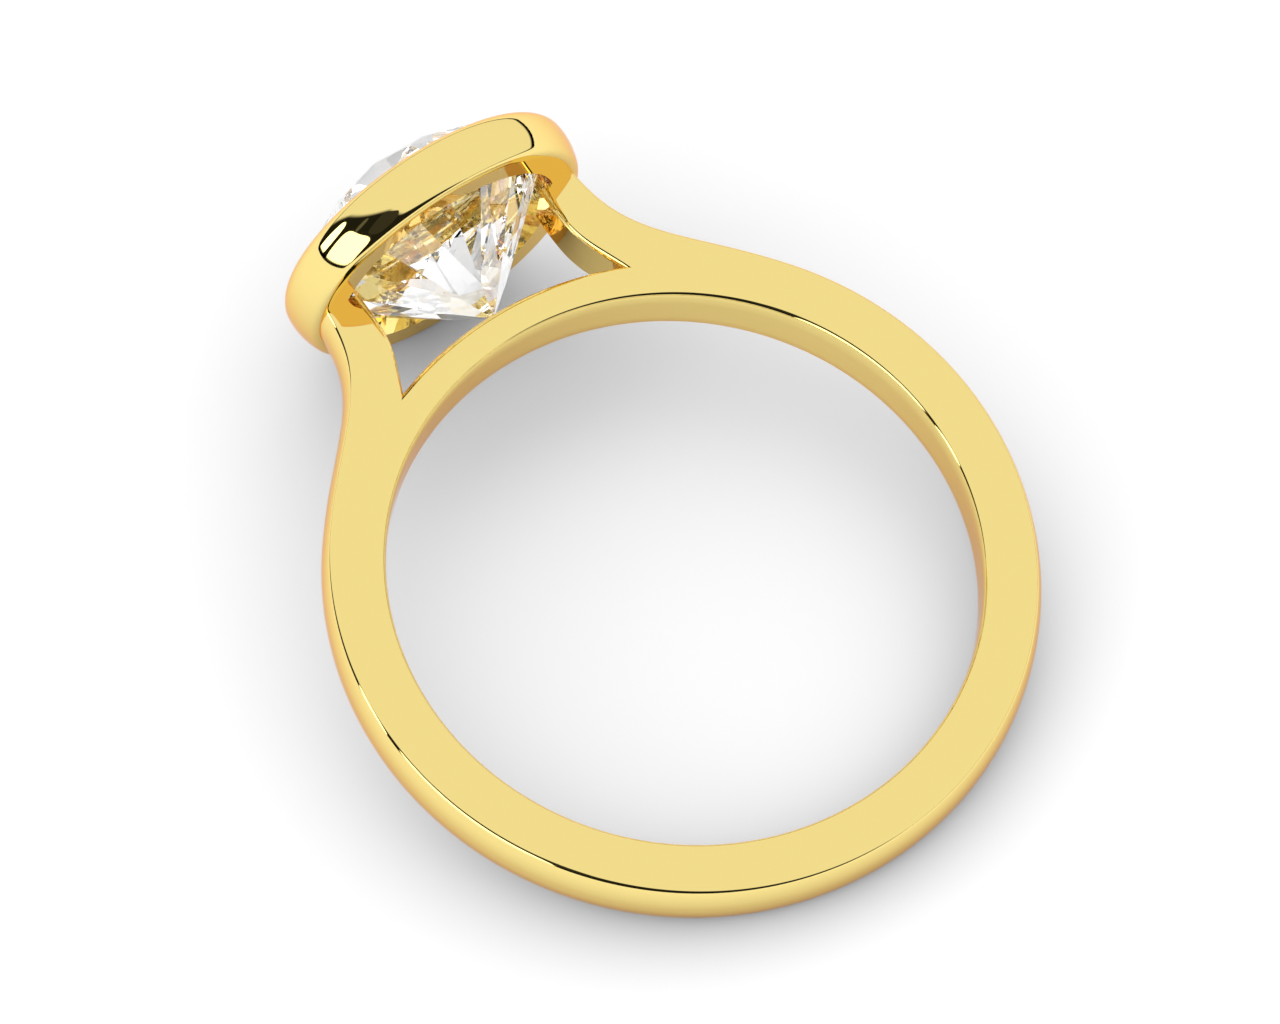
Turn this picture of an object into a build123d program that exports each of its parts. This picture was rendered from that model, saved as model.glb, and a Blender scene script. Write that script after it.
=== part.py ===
from build123d import *
import math
import os

# Bezel set ring, lying on its side. Millimetres, +Z up, the head points along +Y.
# Heights called "height" below are measured from the centre of the finger hole along the head.

# Finger hole: straight in the middle, then eased outwards to both sides for comfort
finger_hole_radius = 8.2
finger_hole_land = 0.8
finger_hole_easing = 0.07

# Band: flat sides and a gently domed outer wall, a little thinner at its base
band_outer_radius = 9.95
band_base_radius = 9.85
band_width = 1.86
band_dome = 0.2
band_dome_land = 0.1
band_edge_round = 0.2

# Bridge: the band's thin continuation under the stone
bridge_crown_height = 9.17

# Window between the bridge and the shoulders
window_corner_x = 3.66
window_corner_height = 8.47
window_edge_round = 0.2

# Shoulders: they leave the band at this angle from the head and rise to the bezel
shoulder_start_angle = 52.0
shoulder_outer_x = 4.28
shoulder_inner_x = 3.04
shoulder_outer_flare = [(6.93, 7.21), (5.99, 8.21), (5.15, 9.18), (4.6, 10.13), (4.35, 11.05)]
shoulder_inner_flare = [(3.47, 8.92), (3.26, 9.43), (3.1, 9.97), (3.03, 10.6)]

# Bezel
bezel_foot_height = 11.6
bezel_rim_height = 13.175
bezel_foot_radius = 4.39
bezel_belly_radius = 4.635
bezel_belly_height = 12.55
bezel_rim_radius = 4.525
bezel_foot_round = 0.32
bezel_rim_round = 0.495
bezel_opening_radius = 3.54

# Round brilliant stone
stone_radius = 4.0
culet_height = 9.335
pavilion_slope = 0.8617
girdle_thickness = 0.24
table_height = 14.34
table_corner_radius = 2.1
star_share = 0.5
lower_half_share = 0.77
first_corner_angle = 22.5
seat_gap = 0.04
seat_slope = 0.88
lip_slope = 0.847

# Resting pose: the bezel and the far edge of the band touch the floor
rest_tilt = 9.597
hole_centre_y = -2.3570
hole_centre_z = 2.5068

# Heights that follow from the stone
girdle_lower_height = culet_height + pavilion_slope * stone_radius
girdle_upper_height = girdle_lower_height + girdle_thickness
seat_radius = stone_radius + seat_gap
seat_foot_height = girdle_lower_height - (seat_radius - bezel_opening_radius) * seat_slope
lip_radius = seat_radius - (bezel_rim_height - girdle_upper_height) / lip_slope
shoulder_top_height = bezel_foot_height + 0.25

# Radius of the dome across the band's outer wall, on both sides of its straight middle
dome_width = (band_width - band_dome_land) / 2
dome_radius = (dome_width**2 + band_dome**2) / (2 * band_dome)

# Side view of the lying ring: its x runs across the head, its y along the head
tilt = math.radians(rest_tilt)
hole_centre = Vector(0, hole_centre_y, hole_centre_z)
finger_direction = Vector(0, -math.sin(tilt), math.cos(tilt))
head_direction = Vector(0, math.cos(tilt), math.sin(tilt))
side_view = Plane(origin=hole_centre, x_dir=(1, 0, 0), z_dir=finger_direction)
head_axis = Axis(hole_centre, head_direction)
finger_axis = Axis(hole_centre, finger_direction)
hole_section = Plane(origin=hole_centre, x_dir=(1, 0, 0), z_dir=head_direction * -1)


def on_side(point, side):
    """A point of the right half (side 1) or its mirror image (side -1)."""
    return (side * point[0], point[1])


def middle_in_side_view(edge):
    """Middle of an edge, in the side view's own coordinates."""
    return side_view.to_local_coords(edge @ 0.5)


def head_point(radius, angle, height):
    """A point of the head from its radius, its angle in degrees and its height."""
    turn = math.radians(angle)
    return side_view.from_local_coords(
        Vector(radius * math.cos(turn), height, radius * math.sin(turn))
    )


# Gold: shank, bridge, shoulders and bezel are one solid
start = math.radians(shoulder_start_angle)
shoulder_start = (band_outer_radius * math.sin(start), band_outer_radius * math.cos(start))
start_direction = (-math.cos(start), math.sin(start))
outer_end = (shoulder_outer_x, shoulder_top_height)
inner_end = (shoulder_inner_x, shoulder_top_height)
window_corner = (window_corner_x, window_corner_height)

with BuildPart() as gold:
    # Outline of band and shoulders, on a plate so thick that its rounded wall gives the dome
    with BuildSketch(side_view):
        with BuildLine():
            for side in (1, -1):
                outer_points = [shoulder_start] + shoulder_outer_flare + [outer_end]
                Spline(
                    *[on_side(point, side) for point in outer_points],
                    tangents=[on_side(start_direction, side), (0, 1)],
                )
            Line(outer_end, on_side(outer_end, -1))
            ThreePointArc(shoulder_start, (0, -band_base_radius), on_side(shoulder_start, -1))
        make_face()
    extrude(amount=dome_radius + band_dome_land / 2, both=True)
    plate_faces = gold.faces().sort_by(finger_axis)
    wall_edges = []
    for edge in plate_faces[0].edges() + plate_faces[-1].edges():
        if middle_in_side_view(edge).Y < shoulder_top_height - 0.1:
            wall_edges.append(edge)
    fillet(wall_edges, radius=dome_radius)

    # The flat sides
    with BuildSketch(side_view):
        Circle(2 * band_outer_radius)
    extrude(amount=band_width / 2, both=True, mode=Mode.INTERSECT)

    # Finger hole
    half_land = finger_hole_land / 2
    half_width = band_width / 2
    with BuildSketch(hole_section):
        with BuildLine():
            Polyline(
                (finger_hole_radius + finger_hole_easing, half_width),
                (0, half_width),
                (0, -half_width),
                (finger_hole_radius + finger_hole_easing, -half_width),
            )
            Line((finger_hole_radius, -half_land), (finger_hole_radius, half_land))
            for side in (1, -1):
                TangentArc(
                    (finger_hole_radius, side * half_land),
                    (finger_hole_radius + finger_hole_easing, side * half_width),
                    tangent=(0, side),
                )
        make_face()
    revolve(axis=finger_axis, mode=Mode.SUBTRACT)

    # Window between the bridge and the shoulders
    with BuildSketch(side_view):
        with BuildLine():
            for side in (1, -1):
                inner_points = [window_corner] + shoulder_inner_flare + [inner_end]
                Spline(*[on_side(point, side) for point in inner_points])
            Line(inner_end, on_side(inner_end, -1))
            ThreePointArc(window_corner, (0, bridge_crown_height), on_side(window_corner, -1))
        make_face()
    extrude(amount=band_width, both=True, mode=Mode.SUBTRACT)

    # Rounded edges along both side faces
    side_faces = gold.faces().filter_by(side_view).sort_by(finger_axis)
    window_edges = []
    band_edges = []
    for edge in side_faces[0].edges() + side_faces[-1].edges():
        middle = middle_in_side_view(edge)
        if middle.Y > bezel_foot_height:
            continue
        if abs(middle.X) < shoulder_inner_x + 0.7 and middle.Y > window_corner_height:
            window_edges.append(edge)
        else:
            band_edges.append(edge)
    fillet(window_edges, radius=window_edge_round)
    fillet(band_edges, radius=band_edge_round)

    # The shoulders end at the foot of the bezel inside its opening
    with BuildSketch(side_view):
        with BuildLine():
            Polyline(
                (0, bezel_foot_height),
                (bezel_opening_radius + 0.1, bezel_foot_height),
                (bezel_opening_radius + 0.1, girdle_upper_height),
                (0, girdle_upper_height),
                close=True,
            )
        make_face()
    revolve(axis=head_axis, mode=Mode.SUBTRACT)

    # Bezel: bellied wall, flat foot, seat for the stone and a lip over its crown
    with BuildSketch(side_view):
        with BuildLine():
            Polyline(
                (bezel_rim_radius, bezel_rim_height),
                (lip_radius, bezel_rim_height),
                (seat_radius, girdle_upper_height),
                (seat_radius, girdle_lower_height),
                (bezel_opening_radius, seat_foot_height),
                (bezel_opening_radius, bezel_foot_height),
                (bezel_foot_radius, bezel_foot_height),
            )
            ThreePointArc(
                (bezel_foot_radius, bezel_foot_height),
                (bezel_belly_radius, bezel_belly_height),
                (bezel_rim_radius, bezel_rim_height),
            )
        bezel_face = make_face()
        outer_corners = bezel_face.vertices().sort_by(Axis.X)[-2:].sort_by(Axis.Y)
        fillet(outer_corners[0], radius=bezel_foot_round)
        fillet(outer_corners[1], radius=bezel_rim_round)
    revolve(axis=head_axis)


# Stone: a round blank cut by flat facets
star_tip_radius = table_corner_radius * math.cos(math.radians(22.5))
star_tip_radius += star_share * (stone_radius - star_tip_radius)
crown_slope = (table_height - girdle_upper_height) / (stone_radius - table_corner_radius)
star_tip_apothem = star_tip_radius * math.cos(math.radians(22.5))
star_tip_height = girdle_upper_height + crown_slope * (stone_radius - star_tip_apothem)
lower_tip_radius = stone_radius * (1 - lower_half_share)
lower_tip_apothem = lower_tip_radius * math.cos(math.radians(22.5))
lower_tip_height = culet_height + pavilion_slope * lower_tip_apothem


def facet_plane(first, second, third):
    """Plane through three corners of a facet, facing away from the stone's middle."""
    normal = (second - first).cross(third - first).normalized()
    inside = head_point(0, 0, girdle_lower_height)
    if normal.dot(first - inside) < 0:
        normal = normal * -1
    return Plane(origin=first, z_dir=normal)


facets = []
for corner in range(8):
    main = first_corner_angle + 45 * corner
    between = main + 22.5
    star_tip = head_point(star_tip_radius, between, star_tip_height)
    lower_tip = head_point(lower_tip_radius, between, lower_tip_height)
    culet = head_point(0, 0, culet_height)
    table_corner = head_point(table_corner_radius, main, table_height)
    next_table_corner = head_point(table_corner_radius, main + 45, table_height)
    last_star_tip = head_point(star_tip_radius, main - 22.5, star_tip_height)
    last_lower_tip = head_point(lower_tip_radius, main - 22.5, lower_tip_height)
    upper_middle = head_point(stone_radius, between, girdle_upper_height)
    lower_middle = head_point(stone_radius, between, girdle_lower_height)
    # Kite and star of the crown, main of the pavilion
    facets.append(facet_plane(table_corner, star_tip, last_star_tip))
    facets.append(facet_plane(table_corner, next_table_corner, star_tip))
    facets.append(facet_plane(culet, lower_tip, last_lower_tip))
    # Halves on both sides of the star's tip
    for main_angle in (main, main + 45):
        upper_end = head_point(stone_radius, main_angle, girdle_upper_height)
        lower_end = head_point(stone_radius, main_angle, girdle_lower_height)
        facets.append(facet_plane(star_tip, upper_end, upper_middle))
        facets.append(facet_plane(lower_tip, lower_end, lower_middle))

with BuildPart() as stone:
    with BuildSketch(side_view):
        with BuildLine():
            Polyline(
                (0, culet_height),
                (stone_radius, culet_height),
                (stone_radius, table_height),
                (0, table_height),
                close=True,
            )
        make_face()
    revolve(axis=head_axis)
    for facet in facets:
        split(bisect_by=facet, keep=Keep.BOTTOM)


os.makedirs("parts", exist_ok=True)
gold.part.label = "gold"
stone.part.label = "stone"
export_step(gold.part, "parts/gold.step")
export_step(stone.part, "parts/stone.step")
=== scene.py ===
import math

import bmesh
import bpy
import numpy as np
from mathutils import Matrix, Vector


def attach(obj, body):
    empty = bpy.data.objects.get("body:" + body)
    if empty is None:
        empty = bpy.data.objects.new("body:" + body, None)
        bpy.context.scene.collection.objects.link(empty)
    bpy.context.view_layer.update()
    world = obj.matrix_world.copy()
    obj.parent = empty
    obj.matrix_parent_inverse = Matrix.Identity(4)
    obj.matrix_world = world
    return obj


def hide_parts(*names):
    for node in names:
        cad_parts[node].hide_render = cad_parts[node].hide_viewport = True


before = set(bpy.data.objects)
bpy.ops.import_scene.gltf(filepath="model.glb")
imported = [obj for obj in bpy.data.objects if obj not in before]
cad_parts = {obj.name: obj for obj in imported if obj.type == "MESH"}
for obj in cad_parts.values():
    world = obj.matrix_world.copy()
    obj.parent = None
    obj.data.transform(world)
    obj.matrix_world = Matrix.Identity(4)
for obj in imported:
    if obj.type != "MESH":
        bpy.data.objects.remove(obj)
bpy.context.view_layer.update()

# Bezel set ring lying on its side, seen from above. Shapes are given in millimetres in the ring's
# side view: x across the head, y from the centre of the finger hole towards the stone, z along the
# finger. One matrix then places each finished mesh in the row frame, in metres.
MM = 0.001

# The resting pose, as in the solids
rest_tilt = math.radians(9.597)
hole_centre = Vector((0.0, -2.3570, 2.5068))

# Finger hole: straight in the middle, then eased outwards to both sides for comfort
finger_hole_radius = 8.2
finger_hole_land = 0.8
finger_hole_easing = 0.07

# Band: flat sides and a gently domed outer wall, a little thinner at its base
band_outer_radius = 9.95
band_base_radius = 9.85
band_width = 1.86
band_dome = 0.2
band_dome_land = 0.1
band_edge_round = 0.2
bridge_crown_height = 9.17

# Window between the bridge and the shoulders: straight walls
window_corner = (3.66, 8.47)
window_edge_round = 0.2
window_land = 0.8

# Shoulders: outer and inner line of the right one, from the band up to the bezel
shoulder_start_angle = math.radians(52.0)
shoulder_outer_flare = [(6.93, 7.21), (5.99, 8.21), (5.15, 9.18), (4.6, 10.13), (4.35, 11.05)]
shoulder_outer_top = (4.28, 11.85)
shoulder_inner_flare = [(3.47, 8.92), (3.26, 9.43), (3.1, 9.97), (3.03, 10.6)]
shoulder_inner_top = (3.04, 11.85)

# The shoulders end inside the bezel's metal: outside above its rounded foot, inside at its flat one
shoulder_outer_end = 11.72
shoulder_inner_end = 11.61

# Bezel
bezel_foot_height = 11.6
bezel_rim_height = 13.175
bezel_foot_radius = 4.39
bezel_belly = (4.635, 12.55)
bezel_rim_radius = 4.525
bezel_foot_round = 0.32
bezel_rim_round = 0.495
bezel_opening_radius = 3.54
seat_radius = 4.04
seat_slope = 0.88
girdle_lower_height = 12.782
girdle_upper_height = 13.022
lip_slope = 0.847

# How finely the curves are divided
round_steps = 12
dome_steps = 8
flare_steps = 14
bridge_steps = 72
band_step = math.radians(1.2)
belly_steps = 24
bezel_segments = 320

# A narrow strip beside each rounded edge keeps the flat side flat in the reflection
hold_width = 0.012
crease_angle = math.radians(25)

# The three kinds of wall between the flat sides
wall_kinds = {
    "outer": {"land": band_dome_land, "dome": band_dome, "edge_round": band_edge_round},
    "hole": {"land": finger_hole_land, "dome": finger_hole_easing, "edge_round": band_edge_round},
    "window": {"land": window_land, "dome": 0.0, "edge_round": window_edge_round},
}


def row_frame():
    """Matrix from the side view in millimetres to the row frame in metres."""
    finger = Vector((0.0, -math.sin(rest_tilt), math.cos(rest_tilt)))
    head = Vector((0.0, math.cos(rest_tilt), math.sin(rest_tilt)))
    turn = Matrix((Vector((1.0, 0.0, 0.0)), head, finger)).transposed()
    return Matrix.Translation(hole_centre * MM) @ turn.to_4x4() @ Matrix.Scale(MM, 4)


def as_piece(name, mesh, material):
    """Places a mesh of the side view in the row frame and makes it a piece of the ring."""
    mesh.transform(row_frame())
    mesh.shade_smooth()
    mesh.set_sharp_from_angle(angle=crease_angle)
    mesh.materials.clear()
    mesh.materials.append(material)
    piece = bpy.data.objects.new(name, mesh)
    bpy.context.scene.collection.objects.link(piece)
    return piece


def colour(hex_value):
    """sRGB hex to the linear colour that the shaders read."""
    channels = [int(hex_value[i : i + 2], 16) / 255 for i in (1, 3, 5)]
    linear = [c / 12.92 if c <= 0.04045 else ((c + 0.055) / 1.055) ** 2.4 for c in channels]
    return (*linear, 1.0)


def add_node(tree, kind, settings=None, values=None, links=None):
    """Adds a node, sets its settings and its inputs' values, and links its inputs."""
    node = tree.nodes.new(kind)
    for name, value in (settings or {}).items():
        setattr(node, name, value)
    for name, value in (values or {}).items():
        node.inputs[name].default_value = value
    for name, source in (links or {}).items():
        tree.links.new(source, node.inputs[name])
    return node


# Lines of the side view


def arc_points(centre, radius, start, end, steps):
    """Points on an arc from one angle to another, both ends included."""
    angles = np.linspace(start, end, steps + 1)
    return [(centre[0] + radius * math.cos(a), centre[1] + radius * math.sin(a)) for a in angles]


def circle_through(first, second, third):
    """Centre and radius of the circle through three points."""
    a, b, c = (np.array(p, float) for p in (first, second, third))
    sides = 2 * np.array([b - a, c - a])
    centre = np.linalg.solve(sides, [b @ b - a @ a, c @ c - a @ a])
    return centre, float(np.linalg.norm(a - centre))


def smooth_line(points, start=None, end=None):
    """Cubic line through points with even curvature; start and end are its directions there."""
    p = np.array(points, float)
    spans = np.linalg.norm(np.diff(p, axis=0), axis=1)
    count = len(p)
    rows = np.zeros((count, count))
    right = np.zeros((count, 2))
    for i in range(1, count - 1):
        before, after = spans[i - 1], spans[i]
        rows[i, i - 1 : i + 2] = after, 2 * (before + after), before
        right[i] = 3 * (after * (p[i] - p[i - 1]) / before + before * (p[i + 1] - p[i]) / after)
    for i, near, direction in ((0, 1, start), (count - 1, count - 2, end)):
        rows[i, i] = 1 if direction else 2
        if direction:
            right[i] = direction
        else:
            rows[i, near] = 1
            right[i] = 3 * (p[max(i, near)] - p[min(i, near)]) / spans[min(i, near)]
    slopes = np.linalg.solve(rows, right)
    line = []
    for i, span in enumerate(spans):
        for t in np.arange(flare_steps) / flare_steps:
            line.append(
                (2 * t**3 - 3 * t**2 + 1) * p[i]
                + (t**3 - 2 * t**2 + t) * span * slopes[i]
                + (3 * t**2 - 2 * t**3) * p[i + 1]
                + (t**3 - t**2) * span * slopes[i + 1]
            )
    return [tuple(q) for q in line] + [tuple(p[-1])]


def cut_at_height(line, height):
    """The part of a rising line below a height, ending exactly on it."""
    kept = [q for q in line if q[1] < height - 1e-6]
    low, high = kept[-1], line[len(kept)]
    share = (height - low[1]) / (high[1] - low[1])
    return kept + [(low[0] + share * (high[0] - low[0]), height)]


def mirrored(line):
    """The same line on the left side, run the other way."""
    return [(-x, y) for x, y in reversed(line)]


def shank_outline():
    """Closed outline of band, shoulders and window, as (point, kind of wall, fixed inset) rows."""
    start = (
        band_outer_radius * math.sin(shoulder_start_angle),
        band_outer_radius * math.cos(shoulder_start_angle),
    )
    leaving = (-math.cos(shoulder_start_angle), math.sin(shoulder_start_angle))
    outer = smooth_line([start, *shoulder_outer_flare, shoulder_outer_top], leaving, (0.0, 1.0))
    outer = cut_at_height(outer, shoulder_outer_end)
    inner = smooth_line([window_corner, *shoulder_inner_flare, shoulder_inner_top])
    inner = cut_at_height(inner, shoulder_inner_end)
    centre, radius = circle_through(
        window_corner, (0.0, bridge_crown_height), (-window_corner[0], window_corner[1])
    )
    half = math.asin(window_corner[0] / radius)
    up = math.pi / 2
    bridge = arc_points(centre, radius, up - half, up + half, bridge_steps)
    centre, radius = circle_through(start, (0.0, -band_base_radius), (-start[0], start[1]))
    first = math.asin((start[1] - centre[1]) / radius)
    sweep = math.pi + 2 * first
    band = arc_points(centre, radius, first, first - sweep, round(sweep / band_step))

    rows = []
    for line, wall in (
        (band[:-1], "outer"),
        (mirrored(outer)[::-1], "outer"),
        (mirrored(inner), "window"),
        (bridge[1:-1][::-1], "window"),
        (inner, "window"),
        (outer[::-1][:-1], "outer"),
    ):
        rows += [[point, wall, None] for point in line]
    for row in rows:
        x, y = row[0]
        if y == shoulder_outer_end:
            row[2] = (-math.copysign(1, x), 0.0)
        if y == shoulder_inner_end:
            row[2] = (math.copysign(1, x), 0.0)
    return rows


def insets(points):
    """For each point of a closed outline, the way into the metal, longer at a mitred corner."""
    p = np.array(points, float)
    ahead = np.roll(p, -1, axis=0) - p
    ahead /= np.linalg.norm(ahead, axis=1)[:, None]
    left = np.stack([-ahead[:, 1], ahead[:, 0]], axis=1)
    turning = np.roll(left, 1, axis=0)
    area = float(np.sum(p[:, 0] * np.roll(p[:, 1], -1) - p[:, 1] * np.roll(p[:, 0], -1)))
    mitre = (left + turning) / (1 + np.sum(left * turning, axis=1))[:, None]
    return mitre * math.copysign(1, area)


def half_section(land, dome, edge_round):
    """Half of a wall's section, as (inset, height) rows from its middle up to the side face.

    The wall is straight over its land, then curves into the metal by the dome's depth."""
    top = band_width / 2
    if dome:
        reach = (dome**2 + (top - land / 2) ** 2) / (2 * dome)
        middle = reach - math.sqrt((reach - edge_round) ** 2 - (top - edge_round - land / 2) ** 2)
        turn = math.asin((top - edge_round - land / 2) / (reach - edge_round))
        arc = [
            (reach * (1 - math.cos(a)), land / 2 + reach * math.sin(a))
            for a in np.linspace(0, turn, dome_steps + 1)
        ]
    else:
        middle = edge_round
        turn = 0.0
        arc = [(0.0, h) for h in np.linspace(land / 2, top - edge_round, dome_steps + 1)]
        arc[-2] = (0.0, top - edge_round - hold_width)
    edge = [
        (middle - edge_round * math.cos(a), top - edge_round + edge_round * math.sin(a))
        for a in np.linspace(turn, math.pi / 2, round_steps + 1)
    ]
    return arc + edge[1:] + [(middle + hold_width, top)]


def rounded_wall(bm, points, ways, walls):
    """Wall along a closed outline, by each point's own section. Returns its two rims."""
    upper = [half_section(**wall_kinds[wall]) for wall in walls]
    count = len(upper[0])
    rings = []
    for side, steps in ((-1, range(count - 1, -1, -1)), (1, range(count))):
        for step in steps:
            ring = []
            for (x, y), (wx, wy), section in zip(points, ways, upper):
                depth, height = section[step]
                ring.append(bm.verts.new((x + wx * depth, y + wy * depth, side * height)))
            rings.append(ring)
    for low, high in zip(rings[:-1], rings[1:]):
        for i in range(len(low)):
            bm.faces.new((low[i - 1], low[i], high[i], high[i - 1]))
    return rings[0], rings[-1]


def rim_edges(bm, rim):
    """The edges round one rim."""
    return [bm.edges.get((rim[i - 1], rim[i])) for i in range(len(rim))]


def build_shank(material):
    """Band, bridge and both shoulders as one closed mesh with flat sides and fine rounded edges."""
    bm = bmesh.new()
    rows = shank_outline()
    points = [row[0] for row in rows]
    ways = [row[2] or tuple(way) for row, way in zip(rows, insets(points))]
    outer_rims = rounded_wall(bm, points, ways, [row[1] for row in rows])
    hole = arc_points((0, 0), finger_hole_radius, 0, 2 * math.pi, round(2 * math.pi / band_step))[:-1]
    outward = [(x / finger_hole_radius, y / finger_hole_radius) for x, y in hole]
    hole_rims = rounded_wall(bm, hole, outward, ["hole"] * len(hole))
    for outer_rim, hole_rim in zip(outer_rims, hole_rims):
        boundary = rim_edges(bm, outer_rim) + rim_edges(bm, hole_rim)
        bmesh.ops.triangle_fill(bm, use_beauty=True, use_dissolve=False, edges=boundary)
    bmesh.ops.recalc_face_normals(bm, faces=bm.faces)
    mesh = bpy.data.meshes.new("shank")
    bm.to_mesh(mesh)
    bm.free()
    return as_piece("shank", mesh, material)


# Bezel: a profile swept round the head by Geometry Nodes


def round_between(centre, radius, corner_round, line_height, upper):
    """Arc of a corner between the belly's circle and a flat line, from the belly to the line."""
    middle_y = line_height - corner_round if upper else line_height + corner_round
    reach = radius - corner_round
    middle_x = centre[0] + math.sqrt(reach**2 - (middle_y - centre[1]) ** 2)
    tangent = math.atan2(middle_y - centre[1], middle_x - centre[0])
    end = math.pi / 2 if upper else -math.pi / 2
    return arc_points((middle_x, middle_y), corner_round, tangent, end, round_steps), tangent


def bezel_profile():
    """Closed profile of the bezel as (radius, height), from the foot round the wall to the opening."""
    seat_foot_height = girdle_lower_height - (seat_radius - bezel_opening_radius) * seat_slope
    lip_radius = seat_radius - (bezel_rim_height - girdle_upper_height) / lip_slope
    centre, radius = circle_through(
        (bezel_foot_radius, bezel_foot_height), bezel_belly, (bezel_rim_radius, bezel_rim_height)
    )
    foot, foot_turn = round_between(centre, radius, bezel_foot_round, bezel_foot_height, False)
    rim, rim_turn = round_between(centre, radius, bezel_rim_round, bezel_rim_height, True)
    belly = arc_points(centre, radius, foot_turn, rim_turn, belly_steps)
    foot_hold = (foot[-1][0] - hold_width, bezel_foot_height)
    rim_hold = (rim[-1][0] - hold_width, bezel_rim_height)
    return [
        (bezel_opening_radius, bezel_foot_height),
        foot_hold,
        *foot[::-1],
        *belly[1:-1],
        *rim,
        rim_hold,
        (lip_radius, bezel_rim_height),
        (seat_radius, girdle_upper_height),
        (seat_radius, girdle_lower_height),
        (bezel_opening_radius, seat_foot_height),
    ]


def sweep_tree():
    """Geometry Nodes tree that sweeps its own closed profile round a circle."""
    tree = bpy.data.node_groups.new("bezel_sweep", "GeometryNodeTree")
    face = tree.interface
    face.new_socket("Profile", in_out="INPUT", socket_type="NodeSocketGeometry")
    for name, kind in (
        ("Path radius", "NodeSocketFloat"),
        ("Segments", "NodeSocketInt"),
        ("Metal", "NodeSocketMaterial"),
    ):
        face.new_socket(name, in_out="INPUT", socket_type=kind)
    face.new_socket("Bezel", in_out="OUTPUT", socket_type="NodeSocketGeometry")
    given = add_node(tree, "NodeGroupInput").outputs
    profile = add_node(tree, "GeometryNodeMeshToCurve", links={"Mesh": given["Profile"]})
    path = add_node(
        tree,
        "GeometryNodeCurvePrimitiveCircle",
        links={"Radius": given["Path radius"], "Resolution": given["Segments"]},
    )
    upright = add_node(
        tree,
        "GeometryNodeSetCurveNormal",
        {"mode": "Z_UP"},
        links={"Curve": path.outputs["Curve"]},
    )
    wall = add_node(
        tree,
        "GeometryNodeCurveToMesh",
        links={"Curve": upright.outputs["Curve"], "Profile Curve": profile.outputs["Curve"]},
    )
    real = add_node(tree, "GeometryNodeRealizeInstances", links={"Geometry": wall.outputs["Mesh"]})
    metal = add_node(
        tree,
        "GeometryNodeSetMaterial",
        links={"Geometry": real.outputs["Geometry"], "Material": given["Metal"]},
    )
    add_node(tree, "NodeGroupOutput", links={"Bezel": metal.outputs["Geometry"]})
    return tree


def build_bezel(material):
    """Bezel as one closed ring: bellied wall, flat foot, opening, seat and the lip over the crown."""
    profile = bezel_profile()
    lines = bpy.data.meshes.new("bezel_profile")
    corners = [(radius - seat_radius, height, 0.0) for radius, height in profile]
    sides = [(i, (i + 1) % len(corners)) for i in range(len(corners))]
    lines.from_pydata(corners, sides, [])
    holder = bpy.data.objects.new("bezel_profile", lines)
    bpy.context.scene.collection.objects.link(holder)
    modifier = holder.modifiers.new("sweep", "NODES")
    modifier.node_group = sweep_tree()
    inputs = {"Path radius": seat_radius, "Segments": bezel_segments, "Metal": material}
    for item in modifier.node_group.interface.items_tree:
        if item.name in inputs:
            modifier[item.identifier] = inputs[item.name]
    holder.update_tag()
    graph = bpy.context.evaluated_depsgraph_get()
    mesh = bpy.data.meshes.new_from_object(holder.evaluated_get(graph))
    bpy.data.objects.remove(holder)
    mesh.transform(Matrix.Rotation(math.pi / 2, 4, "X"))
    bm = bmesh.new()
    bm.from_mesh(mesh)
    bmesh.ops.recalc_face_normals(bm, faces=bm.faces)
    bm.to_mesh(mesh)
    bm.free()
    mesh.name = "bezel"
    return as_piece("bezel", mesh, material)


# Materials

gold_colour = "#f2dc8c"
gold_edge_tint = "#f9d3bf"
haze_patch = 0.4
clearest_roughness = 0.02
haziest_roughness = 0.045
diamond_ior = 2.417


def polished_gold():
    """18 carat yellow gold, mirror polished: a clear reflection with a warm straw tint.

    The last polish leaves faint haze in patches a few tenths of a millimetre wide, which softens
    the reflection a very little here and there."""
    material = bpy.data.materials.new("polished yellow gold")
    material.use_nodes = True
    tree = material.node_tree
    surface = tree.nodes["Principled BSDF"]
    surface.inputs["Base Color"].default_value = colour(gold_colour)
    surface.inputs["Metallic"].default_value = 1.0
    surface.inputs["Specular Tint"].default_value = colour(gold_edge_tint)
    place = add_node(tree, "ShaderNodeTexCoord")
    haze = add_node(
        tree,
        "ShaderNodeTexNoise",
        values={"Scale": 1 / (haze_patch * MM), "Detail": 3.0, "Roughness": 0.5},
        links={"Vector": place.outputs["Object"]},
    )
    roughness = add_node(
        tree,
        "ShaderNodeMapRange",
        values={
            "From Min": 0.3,
            "From Max": 0.7,
            "To Min": clearest_roughness,
            "To Max": haziest_roughness,
        },
        links={"Value": haze.outputs["Fac"]},
    )
    tree.links.new(roughness.outputs["Result"], surface.inputs["Roughness"])
    return material


def cut_stone():
    """Colourless brilliant: flat polished facets, clear, with diamond's strong bending of light."""
    material = bpy.data.materials.new("clear cut brilliant")
    material.use_nodes = True
    surface = material.node_tree.nodes["Principled BSDF"]
    surface.inputs["Base Color"].default_value = colour("#ffffff")
    surface.inputs["Roughness"].default_value = 0.0
    surface.inputs["IOR"].default_value = diamond_ior
    surface.inputs["Transmission Weight"].default_value = 1.0
    return material


# Floor, light and camera


floor_reach = 1.5


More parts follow.
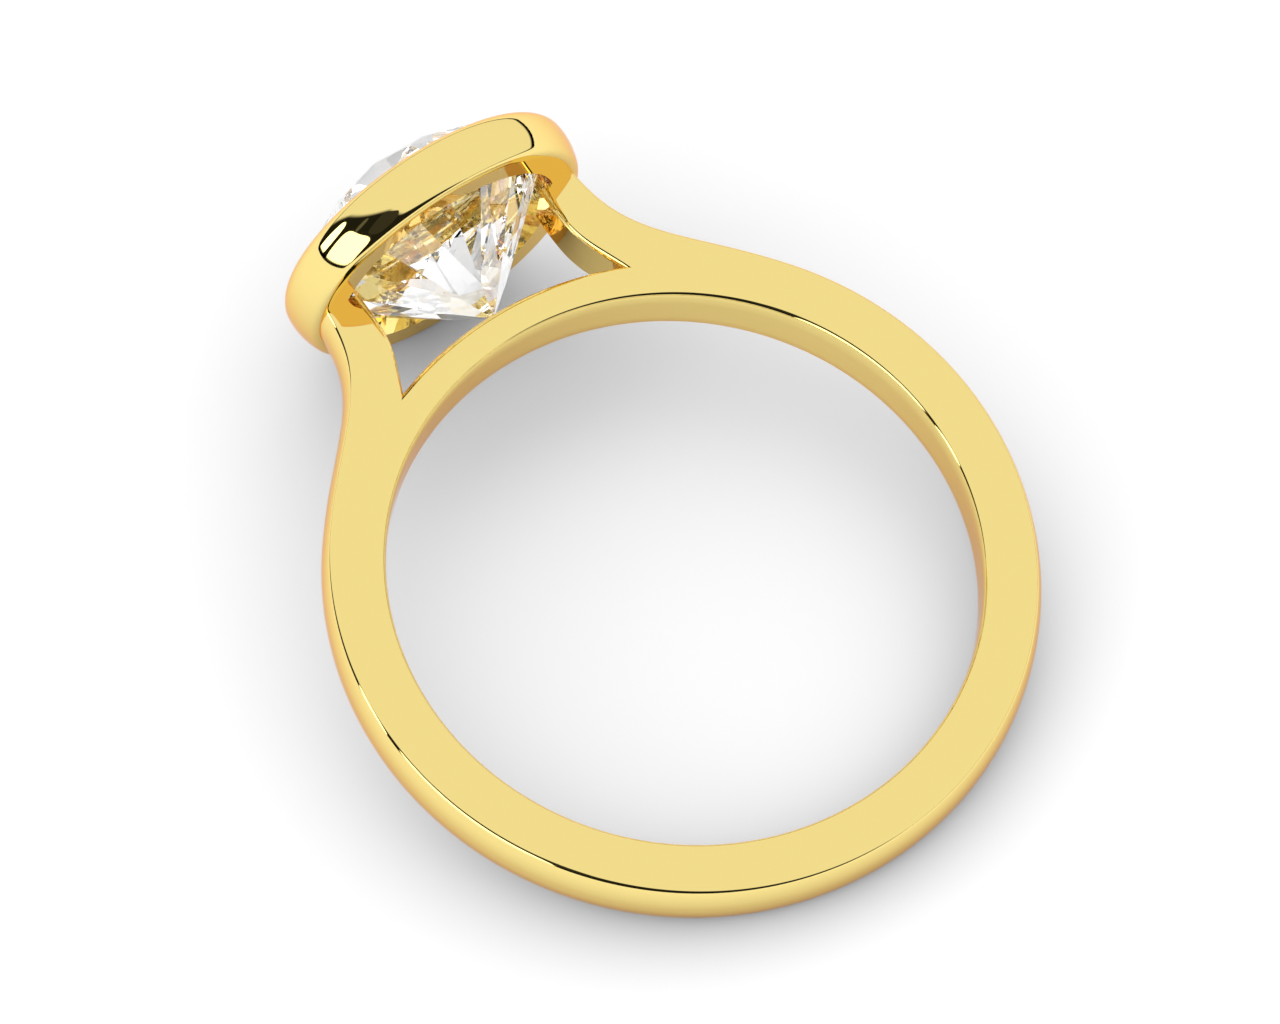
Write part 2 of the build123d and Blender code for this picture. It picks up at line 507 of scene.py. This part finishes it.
def build_floor():
    """Plain white floor under the ring."""
    material = bpy.data.materials.new("matt white floor")
    material.use_nodes = True
    surface = material.node_tree.nodes["Principled BSDF"]
    surface.inputs["Base Color"].default_value = colour("#fbfbfb")
    surface.inputs["Roughness"].default_value = 1.0
    surface.inputs["Specular IOR Level"].default_value = 0.0
    mesh = bpy.data.meshes.new("floor")
    corners = [(x * floor_reach, y * floor_reach, 0) for x, y in ((-1, -1), (1, -1), (1, 1), (-1, 1))]
    mesh.from_pydata(corners, [], [(0, 1, 2, 3)])
    mesh.materials.append(material)
    floor = bpy.data.objects.new("floor", mesh)
    bpy.context.scene.collection.objects.link(floor)
    return floor


# What stands round the ring in the mirror of its metal, as seen from it, in degrees: middle and
# half width along the horizon, middle and half height above it, squareness of its corners, light
room_shapes = [
    # A dark wall behind the camera's left, with a patch that is not quite as dark
    {"bearing": 244, "wide": 87, "height": 0, "tall": 54, "square": 1.4, "light": 0.015},
    {"bearing": 237, "wide": 14.5, "height": 42, "tall": 11, "square": 4, "light": 0.04},
    # A wide bright window in it, then a narrow one
    {"bearing": 260, "wide": 21.5, "height": 13, "tall": 17, "square": 4, "light": 2.6},
    {"bearing": 293, "wide": 6, "height": 13, "tall": 15, "square": 2.3, "light": 3.2},
    # A dim strip of light on the wall
    {"bearing": 268.5, "wide": 3, "height": 37, "tall": 6.5, "square": 2.5, "light": 0.12},
]
room_edge_softness = 0.06
horizon_band = 2.8
horizon_softness = 1.0
ceiling_light = 1.0

# The floor gets even light from all sides, and the stone's inside more of the room's light
floor_light = 1.2
stone_light_gain = 1.7


def light_room():
    """White light from all round above, a dark line along the horizon, and the shapes of the room."""
    world = bpy.data.worlds.new("white room")
    bpy.context.scene.world = world
    world.use_nodes = True
    tree = world.node_tree
    background = tree.nodes["Background"]
    background.inputs["Color"].default_value = (1.0, 1.0, 1.0, 1.0)
    place = add_node(tree, "ShaderNodeTexCoord")
    parts = add_node(tree, "ShaderNodeSeparateXYZ", links={"Vector": place.outputs["Generated"]})
    up = add_node(tree, "ShaderNodeMath", {"operation": "ARCSINE"}, links={0: parts.outputs["Z"]})
    # Bearing from +Y towards +X, counted from the dark wall so that no shape crosses its seam
    seam = math.radians(room_shapes[0]["bearing"])
    turned = add_node(
        tree,
        "ShaderNodeVectorRotate",
        {"rotation_type": "Z_AXIS"},
        {"Angle": seam},
        {"Vector": place.outputs["Generated"]},
    )
    turned_parts = add_node(
        tree, "ShaderNodeSeparateXYZ", links={"Vector": turned.outputs["Vector"]}
    )
    bearing = add_node(
        tree,
        "ShaderNodeMath",
        {"operation": "ARCTAN2"},
        links={0: turned_parts.outputs["X"], 1: turned_parts.outputs["Y"]},
    )
    light = add_node(tree, "ShaderNodeValue").outputs[0]
    light.default_value = ceiling_light
    for shape in room_shapes:
        reaches = []
        for angle, middle, half in (
            (bearing, shape["bearing"] - room_shapes[0]["bearing"], shape["wide"]),
            (up, shape["height"], shape["tall"]),
        ):
            apart = add_node(
                tree,
                "ShaderNodeMath",
                {"operation": "SUBTRACT"},
                {1: math.radians(middle)},
                {0: angle.outputs[0]},
            )
            share = add_node(
                tree,
                "ShaderNodeMath",
                {"operation": "DIVIDE"},
                {1: math.radians(half)},
                {0: apart.outputs[0]},
            )
            size = add_node(
                tree, "ShaderNodeMath", {"operation": "ABSOLUTE"}, links={0: share.outputs[0]}
            )
            reaches.append(
                add_node(
                    tree,
                    "ShaderNodeMath",
                    {"operation": "POWER"},
                    {1: shape["square"]},
                    {0: size.outputs[0]},
                )
            )
        total = add_node(
            tree,
            "ShaderNodeMath",
            {"operation": "ADD"},
            links={0: reaches[0].outputs[0], 1: reaches[1].outputs[0]},
        )
        inside = add_node(
            tree,
            "ShaderNodeMapRange",
            {"interpolation_type": "SMOOTHSTEP"},
            {
                "From Min": 1 - room_edge_softness,
                "From Max": 1 + room_edge_softness,
                "To Min": 1.0,
                "To Max": 0.0,
            },
            {"Value": total.outputs[0]},
        )
        light = add_node(
            tree,
            "ShaderNodeMix",
            {"data_type": "FLOAT"},
            {"B": shape["light"]},
            {"Factor": inside.outputs["Result"], "A": light},
        ).outputs["Result"]
    above_line = add_node(
        tree,
        "ShaderNodeMapRange",
        {"interpolation_type": "SMOOTHSTEP"},
        {
            "From Min": math.radians(horizon_band - horizon_softness),
            "From Max": math.radians(horizon_band + horizon_softness),
        },
        {"Value": up.outputs[0]},
    )
    light = add_node(
        tree,
        "ShaderNodeMath",
        {"operation": "MULTIPLY"},
        links={0: light, 1: above_line.outputs["Result"]},
    ).outputs[0]
    # The metal's mirror shows the room as it is, the stone's inside shows it brighter
    ray = add_node(tree, "ShaderNodeLightPath").outputs
    gain = add_node(
        tree,
        "ShaderNodeMix",
        {"data_type": "FLOAT"},
        {"A": 1.0, "B": stone_light_gain},
        {"Factor": ray["Is Transmission Ray"]},
    )
    light = add_node(
        tree,
        "ShaderNodeMath",
        {"operation": "MULTIPLY"},
        links={0: light, 1: gain.outputs["Result"]},
    ).outputs[0]
    light = add_node(
        tree,
        "ShaderNodeMix",
        {"data_type": "FLOAT"},
        {"B": floor_light},
        {"Factor": ray["Is Diffuse Ray"], "A": light},
    ).outputs["Result"]
    tree.links.new(light, background.inputs["Strength"])


# Camera, fitted to the photograph: where it stands in millimetres, where it looks, what is up
lens_length = 281.25
sensor_width = 36.0
camera_eye = Vector((-83.286, -122.923, 234.416))
camera_look = Vector((0.30328, 0.44661, -0.84176))
camera_up = Vector((0.48115, 0.69072, 0.53982))


def place_camera():
    """Long lens at the photograph's angle, looking down at the ring from the band's side."""
    data = bpy.data.cameras.new("camera")
    data.lens = lens_length
    data.sensor_width = sensor_width
    data.clip_start = 0.01
    data.clip_end = 10.0
    camera = bpy.data.objects.new("camera", data)
    bpy.context.scene.collection.objects.link(camera)
    look = camera_look.normalized()
    across = look.cross(camera_up).normalized()
    turn = Matrix((across, across.cross(look), -look)).transposed()
    camera.matrix_world = Matrix.Translation(camera_eye * MM) @ turn.to_4x4()
    bpy.context.scene.camera = camera


def set_picture():
    """Plain colours, and enough light paths for the stone's inner reflections."""
    scene = bpy.context.scene
    scene.view_settings.view_transform = "Standard"
    scene.view_settings.look = "None"
    scene.cycles.max_bounces = 32
    scene.cycles.glossy_bounces = 24
    scene.cycles.transmission_bounces = 24
    scene.cycles.diffuse_bounces = 4
    scene.cycles.sample_clamp_indirect = 0.0
    scene.cycles.caustics_reflective = False


gold = polished_gold()
shank = build_shank(gold)
bezel = build_bezel(gold)
for piece in (shank, bezel):
    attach(piece, "root")
    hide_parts("gold")

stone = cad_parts["stone"]
stone.data.materials.clear()
stone.data.materials.append(cut_stone())

build_floor()
light_room()
place_camera()
set_picture()
